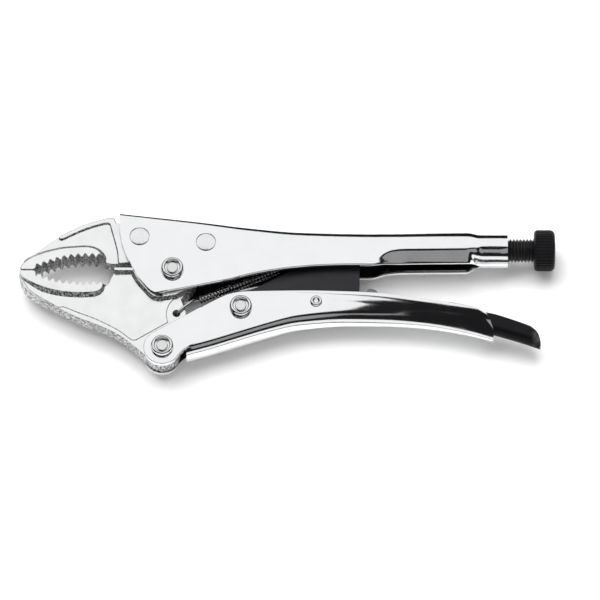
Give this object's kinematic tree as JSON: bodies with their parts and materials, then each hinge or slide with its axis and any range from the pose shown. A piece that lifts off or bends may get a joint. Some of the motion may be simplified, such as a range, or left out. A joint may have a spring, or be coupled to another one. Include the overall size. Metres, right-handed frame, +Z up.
{
  "type": "locking pliers",
  "caption": "Locking pliers with a toothed curved jaw, pressed sheet handles, toggle link, release lever and a knurled adjusting screw, lying closed on one side.",
  "frame": {"origin": "middle of the bottom of the bounding box of the closed pliers lying on one side", "axes": "+X from the jaw tips to the adjusting knob, +Y from the lower handle to the fixed handle, +Z up across the plates"},
  "size_m": [0.24, 0.0742, 0.023],
  "materials": {
    "handle_plating": "bright nickel-chrome plate over pressed sheet, polished",
    "jaw_plating": "bright plate over forged steel, polished faces and grainy forged edges",
    "rivet_steel": "plated steel rivet, ground flush",
    "pin_steel": "plated steel pin, turned end",
    "collar_steel": "plated steel collar, turned",
    "link_black": "black oxide steel, satin",
    "lever_black": "black coated pressed steel, satin",
    "screw_black": "black oxide thread, oiled",
    "knob_black": "black oxide steel, matte",
    "spring_steel": "drawn spring wire"
  },
  "bodies": {
    "fixed_handle": {"fixed_handle": "handle_plating", "fixed_jaw": "jaw_plating", "jaw_rivet_front": "rivet_steel", "jaw_rivet_rear": "rivet_steel", "main_pivot_pin": "pin_steel", "main_pivot_collar_top": "collar_steel", "main_pivot_collar_bottom": "collar_steel", "return_spring": "spring_steel"},
    "lower_jaw": {"lower_jaw": "jaw_plating"},
    "lower_handle": {"lower_handle": "handle_plating", "handle_pivot_pin": "pin_steel", "handle_pivot_collar_top": "collar_steel", "handle_pivot_collar_bottom": "collar_steel", "link_pivot_pin": "pin_steel", "link_pivot_collar_top": "collar_steel", "link_pivot_collar_bottom": "collar_steel", "release_lever_rivet": "rivet_steel"},
    "toggle_link": {"toggle_link": "link_black"},
    "release_lever": {"release_lever": "lever_black"},
    "adjusting_screw": {"adjusting_screw": "screw_black"},
    "adjusting_knob": {"adjusting_knob": "knob_black"}
  },
  "joints": [
    {"name": "lower_jaw_pivot", "type": "hinge", "parent": "fixed_handle", "child": "lower_jaw", "pos_m": [-0.05146, 0.00817, 0.0115], "axis": [0, 0, 1], "range_deg": [0, 25], "deforming": ["return_spring"]},
    {"name": "lower_handle_pivot", "type": "hinge", "parent": "lower_jaw", "child": "lower_handle", "pos_m": [-0.05576, -0.02883, 0.0115], "axis": [0, 0, 1], "range_deg": [-62, 0]},
    {"name": "toggle_link_pivot", "type": "hinge", "parent": "lower_handle", "child": "toggle_link", "pos_m": [-0.02086, -0.00933, 0.0115], "axis": [0, 0, 1], "range_deg": [0, 66]},
    {"name": "release_lever_pivot", "type": "hinge", "parent": "lower_handle", "child": "release_lever", "pos_m": [0.01274, -0.00643, 0.0115], "axis": [0, 0, 1], "range_deg": [0, 4]},
    {"name": "screw_travel", "type": "slide", "parent": "fixed_handle", "child": "adjusting_screw", "axis": [1, 0, 0], "range_m": [0, 0.012]},
    {"name": "knob_turn", "type": "hinge", "parent": "adjusting_screw", "child": "adjusting_knob", "pos_m": [0.11504, 0.02137, 0.0115], "axis": [1, 0, 0], "range_deg": [0, 2881]}
  ],
  "couplings": [
    {"joint": "lower_handle_pivot", "follows": "lower_jaw_pivot", "ratio": -2.44},
    {"joint": "toggle_link_pivot", "follows": "lower_jaw_pivot", "ratio": 2.6},
    {"joint": "knob_turn", "follows": "screw_travel", "rad_per_m": 4188.8}
  ]
}
